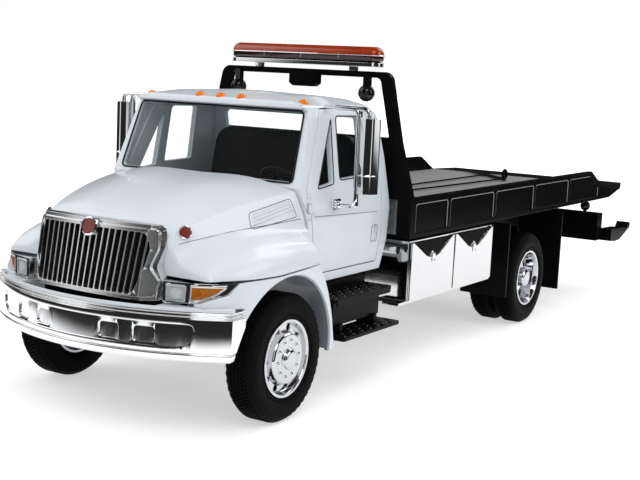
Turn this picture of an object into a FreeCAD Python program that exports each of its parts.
import FreeCAD, Part

import math
import os

Vector = FreeCAD.Vector

# A 1:24 scale model of a conventional-cab truck with a tilting, sliding flat bed and a wheel lift.
# Millimetres. X is the truck's left, Z is up from the floor. Stations run rearwards along Y from
# the front axle; every finished piece is then shifted so that Y = 0 is the middle of the length.

# Wheels and axles
TYRE_RADIUS = 21.6
WHEELBASE = 211.4
FRONT_TYRE_WIDTH = 11.2
REAR_TYRE_WIDTH = 10.2
TWIN_GAP = 1.6
FRONT_FACE_X = 51.0
REAR_FACE_X = 49.6
BEAD_RADIUS = 13.2
BEAD_GAP = 0.1
RIM_WALL = 1.0
HUB_RADIUS = 4.4
HUB_DEPTH = 8.0
HAND_HOLES = 10
HAND_HOLE_RADIUS = 1.15
HAND_HOLE_CIRCLE = 10.2
REAR_HOLE_RADIUS = 0.9
REAR_HOLE_CIRCLE = 7.4
SPINDLE_RADIUS = 2.0
RUNNING_GAP = 0.06
SEAT_GAP = 0.3
FACE_GAP = 0.1

# Chassis
RAIL_INNER_X = 15.3
RAIL_OUTER_X = 18.3
RAIL_BOTTOM = 32.0
RAIL_TOP = 43.0
RAIL_FLANGE = 0.9
FRAME_FRONT = -36.0
FRAME_REAR = WHEELBASE + 90.6
CROSSMEMBER_DEPTH = 3.0
CROSSMEMBER_STATIONS = (-30.0, 30.0, 84.0, WHEELBASE - 61.4, WHEELBASE + 38.6, FRAME_REAR - 18.0)
MUDFLAP_THICKNESS = 1.2
MUDFLAP_FRONT = WHEELBASE - 28.4
MUDFLAP_REAR = WHEELBASE + 38.6
STEP_INNER_X = 37.6
UPPER_STEP = (31.0, 72.0)
UPPER_STEP_TOP = 36.5
LOWER_STEP = (37.0, 79.0)
LOWER_STEP_TOP = 22.0
TOOLBOX_INNER_X = 30.0
MUDFLAP_INNER_X = 27.0
TOOLBOX_FRONT = 86.0
TOOLBOX_REAR = MUDFLAP_FRONT - 18.0
STEP_OUTRIGGERS = (44.0, 66.0)
TOOLBOX_OUTRIGGERS = (TOOLBOX_FRONT + 14.0, TOOLBOX_REAR - 15.0)
MUDFLAP_OUTRIGGERS = (MUDFLAP_FRONT + 0.6, MUDFLAP_REAR + 0.6)

# Cab
CAB_WALL = 1.6
CAB_BELT_X = 42.8
CAB_BOTTOM = 41.5
CAB_ROOF = 107.4
CAB_FLOOR_THICKNESS = 1.5
HOOD_GAP = 0.6
DOOR_GAP = 0.4
GLASS_THICKNESS = 0.5
ROOF_LAMPS = ((0.0, 27.2), (9.2, 27.2), (-9.2, 27.2), (33.6, 29.6), (-33.6, 29.6))
HINGE_X = 43.0
HINGE_Y = 21.9
HINGE_Z = (64.8, 66.8, 70.4, 72.4)
HINGE_RADIUS = 0.5
HINGE_PIN = 0.22

# Hood and front end
HOOD_FRONT = -33.6
HOOD_BOTTOM = 50.2
HOOD_BOTTOM_REAR = 51.5
HOOD_BULGE_REAR = 17.0
HOOD_WALL = 1.3
HOOD_NOSE = ((0.0, 2.2), (0.7, 0.85))
HOOD_NOSE_DEPTH = 2.0
VENT_PANEL = ((-3.4, 68.0), (13.5, 71.6), (15.5, 66.8), (-4.3, 64.2))
VENT_DEPTH = 0.45
VENT_SLATS = 3
VENT_SLAT_STEP = 1.1
VENT_SLAT_WIDTH = 0.3
FENDER_GAP = 0.5
FENDER_WALL = 1.3
ARCH_RADIUS = TYRE_RADIUS + 4.0
ARCH_CENTRE_Y = -1.0
ARCH_CENTRE_Z = TYRE_RADIUS + 2.0
LINER_WALL = 1.0
GRILLE_FACE = -39.6
GRILLE_LEAN = 0.21
GRILLE_REAR = -33.7
GRILLE_BAR_DEPTH = (0.8, 3.0)
GRILLE_TOP = 66.0
GRILLE_BOTTOM = 42.9
GRILLE_BARS = 19
GRILLE_BAR_WIDTH = 0.6
GRILLE_BAR_TAPER = 0.945
GRILLE_RING_STEP = 1.2
HOOD_PIVOT_Y = -37.2
HOOD_PIVOT_Z = 41.2
HOOD_PIN_RADIUS = 0.7
HOOD_LUG_X = (18.9, 20.9)
BUMPER_FRONT = -48.0
BUMPER_HALF = 50.2
BUMPER_CORNER_Y = -31.0
BUMPER_BACK = -24.0
BUMPER_BOTTOM = 25.5
BUMPER_TOP = 41.1
BUMPER_WALL = 1.5
BUMPER_TOP_WALL = 1.2
BUMPER_PROFILE = ((BUMPER_BOTTOM, 0.8), (26.2, 0.2), (27.2, 0.0), (38.8, 0.0), (BUMPER_TOP, 0.3))
BUMPER_GROOVES = ((28.0, 28.4, 0.3), (39.2, 39.7, 0.45), (40.2, 40.7, 0.6))
BUMPER_FIELD = (30.0, 37.3, 40.3)
BUMPER_FIELD_DEPTH = 0.5
BUMPER_INSETS = (13.7, 25.4)
BUMPER_INSET_SIZE = (3.5, 30.8, 35.8)
VALANCE_OFFSET = 0.6
VALANCE_TOP = 42.3

# Bed
DECK_HALF = 51.0
DECK_FRONT = 84.6
DECK_REAR = WHEELBASE + 91.6
TAIL_END = DECK_REAR + 34.0
DECK_TOP = 61.0
DECK_PLATE = 1.6
SIDE_TOP = 68.7
SIDE_BOTTOM = 53.0
SIDE_WALL = 2.4
RAIL_PANELS = 5
PANEL_LENGTH = 46.0
SILL_X = (14.3, 17.9)
SUBFRAME_FRONT = 90.0
SUBFRAME_REAR = DECK_REAR + 1.0
SUBFRAME_HEIGHT = 6.0
TILT_PIVOT_Y = FRAME_REAR - 5.0
TILT_PIVOT_Z = 38.0
TILT_PIN_RADIUS = 1.5
HEADBOARD_DEPTH = 3.0
HEADBOARD_TOP = 115.7
HEADBOARD_HALF_TOP = 37.0
HEADBOARD_WAIST = SIDE_TOP + 0.4426 * (HEADBOARD_TOP - SIDE_TOP)
HEADBOARD_SHEET = SIDE_TOP + 0.4745 * (HEADBOARD_TOP - SIDE_TOP)
LIGHT_BAR_HALF = 34.6
LIGHT_BAR_BOTTOM = HEADBOARD_TOP + 1.7
LIGHT_BAR_HEIGHT = 7.6
LIGHT_BAR_RADIUS = 4.2
LIGHT_BAR_TRAY = 1.6
LIGHT_BAR_TOP = LIGHT_BAR_BOTTOM + LIGHT_BAR_HEIGHT

# Tail board and wheel lift
TAIL_BOARD_FRONT = DECK_REAR + 17.0
TAIL_BOARD_REAR = TAIL_BOARD_FRONT + 8.0
TAIL_BOARD_HALF = 45.0
TAIL_BOARD_BOTTOM = 28.0
LIFT_PIVOT_Y = TAIL_BOARD_FRONT - 9.0
LIFT_BOOM_FRONT = LIFT_PIVOT_Y - 7.0
LIFT_PIVOT_Z = 31.5
LIFT_PIN_RADIUS = 1.1
CROSSBAR_FRONT = TAIL_BOARD_REAR + 2.0
CROSSBAR_DEPTH = 7.0
CRADLE_HALF = 50.0
CRADLE_WIDTH = 7.0
CRADLE_END = CROSSBAR_FRONT + 33.5

MID_LENGTH = (BUMPER_FRONT + CRADLE_END) / 2
SUBFRAME_BOTTOM = RAIL_TOP + SEAT_GAP
SUBFRAME_TOP = SUBFRAME_BOTTOM + SUBFRAME_HEIGHT
CAB_FLOOR_BOTTOM = RAIL_TOP + SEAT_GAP
CAB_FLOOR_TOP = CAB_FLOOR_BOTTOM + CAB_FLOOR_THICKNESS
DECK_UNDER = DECK_TOP - DECK_PLATE
RAIL_SLOPE_TOP = DECK_REAR - 16.0


def box(x0, x1, y0, y1, z0, z1):
    return Part.makeBox(x1 - x0, y1 - y0, z1 - z0, Vector(x0, y0, z0))


def rod(start, end, radius):
    start, end = Vector(*start), Vector(*end)
    return Part.makeCylinder(radius, (end - start).Length, start, end - start)


def rounded_wire(corners, radius, place):
    """Closed outline through 2-D corners, each rounded by radius (one value, or one per corner)."""
    count = len(corners)
    radii = radius if isinstance(radius, (list, tuple)) else [radius] * count
    flat = [Vector(u, w, 0) for u, w in corners]
    starts, middles, ends = [], [], []
    for i, corner in enumerate(flat):
        back = (flat[i - 1] - corner).normalize()
        ahead = (flat[(i + 1) % count] - corner).normalize()
        half = back.getAngle(ahead) / 2
        if radii[i] <= 0 or half > math.radians(89):
            starts.append(corner)
            middles.append(None)
            ends.append(corner)
            continue
        reach = radii[i] / math.tan(half)
        inward = (back + ahead).normalize()
        starts.append(corner + back * reach)
        middles.append(corner + inward * (radii[i] / math.sin(half) - radii[i]))
        ends.append(corner + ahead * reach)
    edges = []
    for i in range(count):
        a, b = place(ends[i - 1]), place(starts[i])
        if (b - a).Length > 1e-6:
            edges.append(Part.LineSegment(a, b).toShape())
        if middles[i] is not None:
            edges.append(Part.Arc(place(starts[i]), place(middles[i]), place(ends[i])).toShape())
    return Part.Wire(edges)


def prism_x(corners, x0, x1, radius=0):
    """Side-view outline of (y, z) corners, drawn from x0 to x1."""
    wire = rounded_wire(corners, radius, lambda p: Vector(x0, p.x, p.y))
    return Part.Face(wire).extrude(Vector(x1 - x0, 0, 0))


def prism_y(corners, y0, y1, radius=0):
    """Front-view outline of (x, z) corners, drawn from y0 to y1."""
    wire = rounded_wire(corners, radius, lambda p: Vector(p.x, y0, p.y))
    return Part.Face(wire).extrude(Vector(0, y1 - y0, 0))


def prism_z(corners, z0, z1, radius=0):
    """Plan outline of (x, y) corners, drawn from z0 to z1."""
    wire = rounded_wire(corners, radius, lambda p: Vector(p.x, p.y, z0))
    return Part.Face(wire).extrude(Vector(0, 0, z1 - z0))


def both_sides(corners):
    """Closed outline symmetric in its first coordinate, from the half with positive values."""
    return list(corners) + [(-u, w) for u, w in reversed(corners) if u > 1e-6]


def outward(solid):
    """The same solid with its faces pointing outwards."""
    return solid.reversed() if solid.Volume < 0 else solid


def fuse(*shapes):
    result = shapes[0].fuse(list(shapes[1:])) if len(shapes) > 1 else shapes[0]
    return result.removeSplitter()


def mirrored(shape):
    return shape.mirror(Vector(0, 0, 0), Vector(1, 0, 0))


def revolve_x(profile, x_origin, y, z):
    """Turn an (x, r) outline about the wheel axis through (y, z), x counted from x_origin."""
    points = [Vector(x_origin + px, y, z + r) for px, r in profile]
    face = Part.Face(Part.makePolygon(points + [points[0]]))
    return face.revolve(Vector(0, y, z), Vector(1, 0, 0), 360)


# Wheels

def tyre(outer_x, width, y):
    """One tyre: flat tread, rounded shoulders and bulged sidewalls, face outwards at outer_x."""
    z = TYRE_RADIUS

    def at(px, r):
        return Vector(outer_x - px, y, z + r)

    def side(flip):
        def s(px, r):
            return at(width - px, r) if flip else at(px, r)
        bead = s(0.8, BEAD_RADIUS)
        widest = BEAD_RADIUS + 0.59 * (TYRE_RADIUS - 1.3 - BEAD_RADIUS)
        wall = Part.Arc(bead, s(0.0, widest), s(0.9, TYRE_RADIUS - 1.3))
        shoulder = Part.Arc(s(0.9, TYRE_RADIUS - 1.3), s(1.35, TYRE_RADIUS - 0.42), s(2.2, TYRE_RADIUS))
        return wall.toShape(), shoulder.toShape()

    outer_wall, outer_shoulder = side(False)
    inner_wall, inner_shoulder = side(True)
    tread = Part.LineSegment(at(2.2, TYRE_RADIUS), at(width - 2.2, TYRE_RADIUS)).toShape()
    bore = Part.LineSegment(at(width - 0.8, BEAD_RADIUS), at(0.8, BEAD_RADIUS)).toShape()
    wire = Part.Wire(Part.__sortEdges__([outer_wall, outer_shoulder, tread, inner_shoulder, inner_wall, bore]))
    return Part.Face(wire).revolve(Vector(0, y, z), Vector(1, 0, 0), 360)


def hand_holes(outer_x, y, depth, radius=HAND_HOLE_RADIUS, circle=HAND_HOLE_CIRCLE):
    holes = []
    for k in range(HAND_HOLES):
        angle = 2 * math.pi * k / HAND_HOLES
        hy = y + circle * math.cos(angle)
        hz = TYRE_RADIUS + circle * math.sin(angle)
        holes.append(rod((outer_x + 2, hy, hz), (outer_x - depth, hy, hz), radius))
    return holes


def spindle_bore(outer_x, y, start):
    end = outer_x - 60
    return rod((outer_x - start, y, TYRE_RADIUS), (end, y, TYRE_RADIUS), SPINDLE_RADIUS + RUNNING_GAP)


def front_rim():
    """Steer-axle rim: a sunk ring of hand holes around a raised disc with a centre cap."""
    width = FRONT_TYRE_WIDTH
    edge = BEAD_RADIUS - BEAD_GAP
    profile = [
        (-0.4, edge), (-0.4, edge - RIM_WALL), (-2.0, 11.6), (-2.6, 11.2), (-2.6, 9.2), (-1.6, 8.8), (-0.5, 8.6),
        (0.1, 8.1), (0.2, 3.6), (1.1, 3.3), (1.6, 2.3), (1.6, 0.0), (-HUB_DEPTH, 0.0), (-HUB_DEPTH, HUB_RADIUS),
        (-1.6, HUB_RADIUS), (-1.6, 7.4), (-3.8, 8.2), (-3.8, 11.6), (-4.2, edge - RIM_WALL),
        (-width + 0.9, edge - RIM_WALL), (-width + 0.9, edge),
    ]
    solid = revolve_x(profile, FRONT_FACE_X, 0.0, TYRE_RADIUS)
    solid = solid.cut(hand_holes(FRONT_FACE_X, 0.0, 6.0))
    return solid.cut(spindle_bore(FRONT_FACE_X, 0.0, 1.0))


def rear_rims():
    """Twin rims on one hub: the outer disc sits deep in its rim, the inner one is its mirror."""
    width = REAR_TYRE_WIDTH
    total = 2 * width + TWIN_GAP
    edge = BEAD_RADIUS - BEAD_GAP
    deep = width - 1.6
    profile = [
        (-0.4, edge), (-0.4, edge - RIM_WALL), (-3.0, 11.4), (-deep + 1.2, 10.6), (-deep, 9.0),
        (-deep, HUB_RADIUS + 0.6), (-1.6, HUB_RADIUS), (-0.9, HUB_RADIUS - 0.9), (-0.6, 2.4), (-0.6, 0.0),
        (-total + 2.6, 0.0), (-total + 2.6, HUB_RADIUS), (-width - TWIN_GAP - 1.6, HUB_RADIUS + 0.6),
        (-width - TWIN_GAP - 1.6, 9.6), (-width - TWIN_GAP - 2.8, edge - RIM_WALL),
        (-total + 0.9, edge - RIM_WALL), (-total + 0.9, edge),
    ]
    solid = revolve_x(profile, REAR_FACE_X, WHEELBASE, TYRE_RADIUS)
    holes = hand_holes(REAR_FACE_X, WHEELBASE, total + 2, REAR_HOLE_RADIUS, REAR_HOLE_CIRCLE)
    solid = solid.cut(holes)
    return solid.cut(spindle_bore(REAR_FACE_X, WHEELBASE, 2.6))


def rear_tyres():
    outer = tyre(REAR_FACE_X, REAR_TYRE_WIDTH, WHEELBASE)
    inner = tyre(REAR_FACE_X - REAR_TYRE_WIDTH - TWIN_GAP, REAR_TYRE_WIDTH, WHEELBASE)
    return Part.makeCompound([outer, inner])


# Chassis

def leaf_spring(y, half_length, seat_z):
    """Curved leaf pack under a chassis rail with its two hangers, on a seat at the axle."""
    top = RAIL_BOTTOM - SEAT_GAP
    x0, x1 = RAIL_INNER_X + 0.3, RAIL_OUTER_X - 0.3
    eye = top - 2.2
    dip = seat_z + 1.2
    low = Part.Arc(Vector(x0, y - half_length, eye), Vector(x0, y, dip), Vector(x0, y + half_length, eye))
    high = Part.Arc(
        Vector(x0, y + half_length, eye + 1.2), Vector(x0, y, dip + 2.4), Vector(x0, y - half_length, eye + 1.2))
    ends = [
        Part.LineSegment(Vector(x0, y + half_length, eye), Vector(x0, y + half_length, eye + 1.2)).toShape(),
        Part.LineSegment(Vector(x0, y - half_length, eye + 1.2), Vector(x0, y - half_length, eye)).toShape(),
    ]
    wire = Part.Wire(Part.__sortEdges__([low.toShape(), high.toShape()] + ends))
    leaf = outward(Part.Face(wire).extrude(Vector(x1 - x0, 0, 0)))
    hangers = [
        box(x0, x1, y + s * half_length - 1.4, y + s * half_length + 1.4, eye, top) for s in (-1, 1)
    ]
    seat = box(x0 - 0.6, x1 + 0.6, y - 2.6, y + 2.6, seat_z - 1.5, dip + 0.6)
    return fuse(leaf, *hangers, seat)


def front_axle():
    """Dropped I-beam on two leaf springs, with a spindle at each end for its wheel."""
    z = TYRE_RADIUS
    inner_face = FRONT_FACE_X - FRONT_TYRE_WIDTH
    end = inner_face - 1.2
    outline = both_sides([
        (0.0, z + 0.4), (19.0, z + 0.4), (24.0, z - 0.6), (end - 4, z + 2.4), (end, z + 2.8),
        (end, z - 2.8), (end - 5, z - 2.4), (23.0, z - 5.0), (0.0, z - 4.2)])
    beam = prism_y(outline, -2.4, 2.4)
    spindle = rod((end - 2, 0, z), (FRONT_FACE_X - 1.6, 0, z), SPINDLE_RADIUS)
    spring = leaf_spring(0.0, 28.0, z + 0.4)
    return fuse(beam, spindle, mirrored(spindle), spring, mirrored(spring))


def rear_axle():
    """Live axle: tapered tubes, a round differential, leaf springs and the two spindles."""
    z = TYRE_RADIUS
    inner_face = REAR_FACE_X - 2 * REAR_TYRE_WIDTH - TWIN_GAP
    housing = rod((-inner_face + 1.0, WHEELBASE, z), (inner_face - 1.0, WHEELBASE, z), 3.6)
    ball = Part.makeSphere(8.2, Vector(0, WHEELBASE, z), Vector(1, 0, 0))
    nose = Part.makeCone(3.0, 6.0, 8.0, Vector(0, WHEELBASE - 13.0, z + 0.6), Vector(0, 1, 0))
    spindles = rod((-REAR_FACE_X + 3.4, WHEELBASE, z), (REAR_FACE_X - 3.4, WHEELBASE, z), SPINDLE_RADIUS)
    spring = leaf_spring(WHEELBASE, 32.0, z + 3.4)
    return fuse(housing, ball, nose, spindles, spring, mirrored(spring))


def drive_shaft():
    start = Vector(0, 22.0 + SEAT_GAP, 30.4)
    end = Vector(0, WHEELBASE - 13.0 - SEAT_GAP, TYRE_RADIUS + 0.6)
    return Part.makeCylinder(1.7, (end - start).Length, start, end - start)


def channel(x_web, x_open, y0, y1):
    """One C-section chassis rail with its web outside and flanges inwards."""
    web = RAIL_FLANGE if x_open > x_web else -RAIL_FLANGE
    z0, z1 = RAIL_BOTTOM, RAIL_TOP
    section = [
        (x_web, z0), (x_open, z0), (x_open, z0 + RAIL_FLANGE), (x_web + web, z0 + RAIL_FLANGE),
        (x_web + web, z1 - RAIL_FLANGE), (x_open, z1 - RAIL_FLANGE), (x_open, z1), (x_web, z1)]
    return prism_y(section, y0, y1)


def frame_rails():
    """Ladder frame: two channels, crossmembers, outriggers, front horns and the tilt pin."""
    rail = channel(RAIL_OUTER_X, RAIL_INNER_X, FRAME_FRONT, FRAME_REAR)
    rail = rail.cut(box(0, RAIL_OUTER_X + 1, FRAME_FRONT - 1, FRAME_FRONT + 6, GRILLE_BOTTOM - 1.4, RAIL_TOP + 1))
    heel = prism_x([(TILT_PIVOT_Y - 4.0, RAIL_TOP), (FRAME_REAR + 1, RAIL_TOP - 3.4), (FRAME_REAR + 1, RAIL_TOP + 1),
                    (TILT_PIVOT_Y - 4.0, RAIL_TOP + 1)], 0, RAIL_OUTER_X + 1)
    rail = rail.cut(heel)
    parts = [rail, mirrored(rail)]
    for y in CROSSMEMBER_STATIONS:
        parts.append(box(-RAIL_OUTER_X + RAIL_FLANGE / 2, RAIL_OUTER_X - RAIL_FLANGE / 2,
                         y, y + CROSSMEMBER_DEPTH, RAIL_BOTTOM + 2.0, RAIL_TOP - 0.6))
    for stations, reach in ((STEP_OUTRIGGERS, STEP_INNER_X), (TOOLBOX_OUTRIGGERS, TOOLBOX_INNER_X),
                            (MUDFLAP_OUTRIGGERS, MUDFLAP_INNER_X)):
        for y in stations:
            arm = box(RAIL_OUTER_X - 0.4, reach, y - 1.2, y + 1.2, RAIL_BOTTOM + 2.0, RAIL_TOP - 3.0)
            parts += [arm, mirrored(arm)]
    horn_tip = bumper_y(RAIL_OUTER_X) + BUMPER_WALL + SEAT_GAP
    horn = prism_x([
        (horn_tip, RAIL_BOTTOM), (FRAME_FRONT + 1, RAIL_BOTTOM), (FRAME_FRONT + 1, RAIL_BOTTOM + 7.0),
        (horn_tip, RAIL_BOTTOM + 6.0)], RAIL_INNER_X, RAIL_OUTER_X)
    ear = prism_x([
        (HOOD_PIVOT_Y - 1.3, RAIL_BOTTOM + 5.0), (FRAME_FRONT + 1, RAIL_BOTTOM + 5.0),
        (FRAME_FRONT + 1, HOOD_PIVOT_Z), (HOOD_PIVOT_Y + 0.6, HOOD_PIVOT_Z + 1.2), (HOOD_PIVOT_Y - 0.6, HOOD_PIVOT_Z + 1.2),
        (HOOD_PIVOT_Y - 1.3, HOOD_PIVOT_Z)], RAIL_INNER_X, RAIL_OUTER_X)
    hood_pin = rod((RAIL_INNER_X, HOOD_PIVOT_Y, HOOD_PIVOT_Z), (HOOD_LUG_X[1], HOOD_PIVOT_Y, HOOD_PIVOT_Z),
                   HOOD_PIN_RADIUS)
    boss = rod((RAIL_INNER_X, TILT_PIVOT_Y, TILT_PIVOT_Z), (RAIL_OUTER_X, TILT_PIVOT_Y, TILT_PIVOT_Z), 3.2)
    tilt_pin = rod((RAIL_INNER_X, TILT_PIVOT_Y, TILT_PIVOT_Z), (RAIL_OUTER_X + 3.4, TILT_PIVOT_Y, TILT_PIVOT_Z),
                   TILT_PIN_RADIUS)
    for piece in (horn, ear, hood_pin, boss, tilt_pin):
        parts += [piece, mirrored(piece)]
    return fuse(*parts)


def engine_block():
    """Closed mass under the hood, between the chassis rails."""
    return box(-RAIL_INNER_X + 3.0, RAIL_INNER_X - 3.0, -26.0, 22.0, RAIL_BOTTOM - 5.0, 60.0)


# Front end

def bumper_arc(offset):
    """Plan curve of the bumper's face, moved inwards by offset: centre and radius."""
    sagitta = BUMPER_CORNER_Y - BUMPER_FRONT
    radius = (BUMPER_HALF ** 2 + sagitta ** 2) / (2 * sagitta)
    return BUMPER_FRONT + radius, radius - offset


def bumper_y(x, offset=0.0):
    centre, radius = bumper_arc(offset)
    return centre - math.sqrt(radius ** 2 - x ** 2)


def bumper_wire(offset, z, back=BUMPER_BACK):
    half = BUMPER_HALF - offset
    right, left = Vector(half, bumper_y(half, offset), z), Vector(-half, bumper_y(half, offset), z)
    arc = Part.Arc(right, Vector(0, BUMPER_FRONT + offset, z), left).toShape()
    sides = Part.makePolygon([left, Vector(-half, back, z), Vector(half, back, z), right])
    return Part.Wire(Part.__sortEdges__([arc] + sides.Edges))


def bumper_plan(offset, z0, z1, back):
    return Part.Face(bumper_wire(offset, z0, back)).extrude(Vector(0, 0, z1 - z0))


def bumper_outline(x, half, z0, z1, radius):
    """Rounded rectangle in front view, centred at x, long enough in Y to cut the bumper."""
    corners = [(x - half, z0), (x + half, z0), (x + half, z1), (x - half, z1)]
    return prism_y(corners, BUMPER_FRONT - 2, BUMPER_CORNER_Y + 2, radius)


def front_bumper():
    """Wrap-round bumper shell: rounded edges, ribbed top, long sunk field and four sunk panels in it."""
    back = BUMPER_BACK
    body = Part.makeLoft([bumper_wire(offset, z) for z, offset in BUMPER_PROFILE], True, True)
    body = body.cut(bumper_plan(BUMPER_WALL, BUMPER_BOTTOM - 1, 38.4, back + 5))
    body = body.cut(bumper_plan(BUMPER_TOP_WALL, 38.0, BUMPER_TOP + 1, back + 5))
    ends = prism_x([
        (-60, BUMPER_BOTTOM - 2), (-30, BUMPER_BOTTOM - 2), (-29, BUMPER_BOTTOM + 2.0), (-27, 31.0),
        (back, 36.0), (back, BUMPER_TOP + 2), (-60, BUMPER_TOP + 2)], -60, 60)
    body = body.common(ends)
    grooves = [bumper_plan(-2.0, a, b, back + 5).cut(bumper_plan(depth, a - 1, b + 1, back + 6))
               for a, b, depth in BUMPER_GROOVES]
    z0, z1, half = BUMPER_FIELD
    field = bumper_outline(0.0, half, z0, z1, [5.2, 5.2, 1.8, 1.8])
    field = field.cut(bumper_plan(BUMPER_FIELD_DEPTH, BUMPER_BOTTOM - 1, BUMPER_TOP + 1, back + 6))
    half, z0, z1 = BUMPER_INSET_SIZE
    insets = [bumper_outline(s * x, half, z0, z1, 1.2) for x in BUMPER_INSETS for s in (-1, 1)]
    keep = bumper_plan(BUMPER_FIELD_DEPTH + 0.6, BUMPER_BOTTOM - 1, BUMPER_TOP + 1, back + 6)
    return body.cut(grooves + [field] + [inset.cut(keep) for inset in insets])


def valance():
    """Painted ledge on the bumper's top: a thin strip before the grille, wider under the headlamps."""
    z0, z1 = BUMPER_TOP, VALANCE_TOP
    grille_room = 28.2
    ledge = bumper_plan(VALANCE_OFFSET, z0, z1, BUMPER_CORNER_Y + 2.0)
    behind_strip = bumper_plan(BUMPER_TOP_WALL, z0 - 1, z1 + 1, 0.0).common(
        box(-grille_room, grille_room, -60.0, 1.0, z0 - 2, z1 + 2))
    body = fender_plan(-FENDER_GAP, z0 - 1, z1 + 1)
    return ledge.cut([behind_strip, body, mirrored(body)])


def fender_plan(offset, z0, z1):
    """Plan of the lower body's outside, widest at the wheels and drawn in towards the bumper."""
    half = [(42.0 - offset, -35.0 + offset), (48.2 - offset, -26.0), (51.0 - offset, -12.0), (51.6 - offset, 6.0),
            (51.2 - offset, 34.0)]
    edge = Part.BSplineCurve()
    edge.interpolate([Vector(x, y, z0) for x, y in half])
    close = Part.makePolygon([
        Vector(half[-1][0], half[-1][1], z0), Vector(0, half[-1][1], z0), Vector(0, half[0][1], z0),
        Vector(half[0][0], half[0][1], z0)])
    wire = Part.Wire(Part.__sortEdges__([edge.toShape()] + close.Edges))
    return Part.Face(wire).extrude(Vector(0, 0, z1 - z0))


def fender():
    """Left lower fender and wheel arch in one: nose under the headlamp, arch liner and rear tail."""
    low = BUMPER_TOP + FENDER_GAP
    outline = [
        (-35.0, HOOD_BOTTOM - FENDER_GAP), (-35.0, low), (-23.4, low), (-23.4, 36.0), (-10.0, 22.0), (20.0, 20.0),
        (29.0, 20.0), (26.4, 33.3), (22.4, 43.3), (HOOD_BULGE_REAR - 0.4, HOOD_BOTTOM_REAR - FENDER_GAP),
        (-7.0, HOOD_BOTTOM - FENDER_GAP)]
    skin = prism_x(outline, 38.0, 56.0, [0, 0, 0, 0, 0, 0, 1.0, 40.0, 30.0, 0, 0])
    skin = skin.common(fender_plan(0.0, 10.0, 60.0)).cut(fender_plan(FENDER_WALL, 9.0, 61.0))
    y, z = ARCH_CENTRE_Y, ARCH_CENTRE_Z
    arch = rod((30.0, y, z), (60.0, y, z), ARCH_RADIUS)
    below = box(30.0, 60.0, y - ARCH_RADIUS, y + ARCH_RADIUS - 0.6, 0.0, z)
    skin = skin.cut([arch, below])
    skin = skin.cut(bumper_plan(-FENDER_GAP, BUMPER_BOTTOM, low, BUMPER_BACK + FENDER_GAP))
    skin = skin.cut(headlamp_envelope(0.2))
    return fuse(skin, arch_liner())


def arch_liner():
    """Half-round shell over the left front wheel, from beside the frame out to the fender skin."""
    x0, x1 = 26.0, 56.0
    y, z = ARCH_CENTRE_Y, ARCH_CENTRE_Z
    outer = ARCH_RADIUS + LINER_WALL
    shell = rod((x0, y, z), (x1, y, z), outer).cut(rod((x0 - 1, y, z), (x1 + 1, y, z), ARCH_RADIUS))
    shell = shell.common(box(x0 - 1, x1 + 1, y - outer - 1, y + outer + 1, z - 3.0, z + outer + 1))
    shell = shell.common(fender_plan(FENDER_WALL / 2, 10.0, 60.0))
    under_hood = box(51.5 - HOOD_WALL - 1.2, x1, -40.0, 40.0, HOOD_BOTTOM - FENDER_GAP, 60.0)
    behind_bumper = box(x0 - 1, x1, -60.0, y - outer + 0.6, 0.0, 36.0).fuse(box(x0 - 1, x1, -60.0, y, 0.0, 28.0))
    return shell.cut([under_hood, behind_bumper])


def headlamp_envelope(grow):
    """Front-view outline of the left headlamp: straight top, rounded lower edge, pointed outer tip."""
    top = HOOD_BOTTOM - FENDER_GAP - 0.1 + grow
    outline = [(28.4 - grow, 42.6 - grow), (28.4 - grow, top), (48.2 + grow, top), (46.6 + grow, 46.4 - grow),
               (40.0, 43.6 - grow)]
    return prism_y(outline, -42.0, -21.0 + grow, [0.8, 0, 0, 1.6, 8.0])


def headlamp():
    """Left headlamp: a wrap-round block following the nose, with a square and a pointed lens sunk in."""
    plan = prism_z([(20, -39.0), (30.0, -38.2), (38.0, -35.8), (44.8, -31.0), (48.6, -24.8), (46.0, -22.6),
                    (38.0, -30.0), (20, -34.0)], 40.0, 52.0, [0, 12, 12, 12, 0.8, 0.8, 12, 0])
    body = plan.common(headlamp_envelope(0.0))
    shallow = plan.copy()
    shallow.translate(Vector(-0.4, 0.9, 0))
    lens = [prism_y([(29.6, 43.6), (29.6, 48.8), (36.2, 48.8), (35.6, 43.4)], -42.0, -21.0, 0.8),
            prism_y([(37.0, 44.0), (37.4, 48.8), (46.4, 48.8), (44.8, 46.6), (40.4, 44.2)], -42.0, -21.0, [0.6, 0.6, 0.3, 1, 3])]
    return body.cut([pocket.cut(shallow) for pocket in lens])


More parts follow.
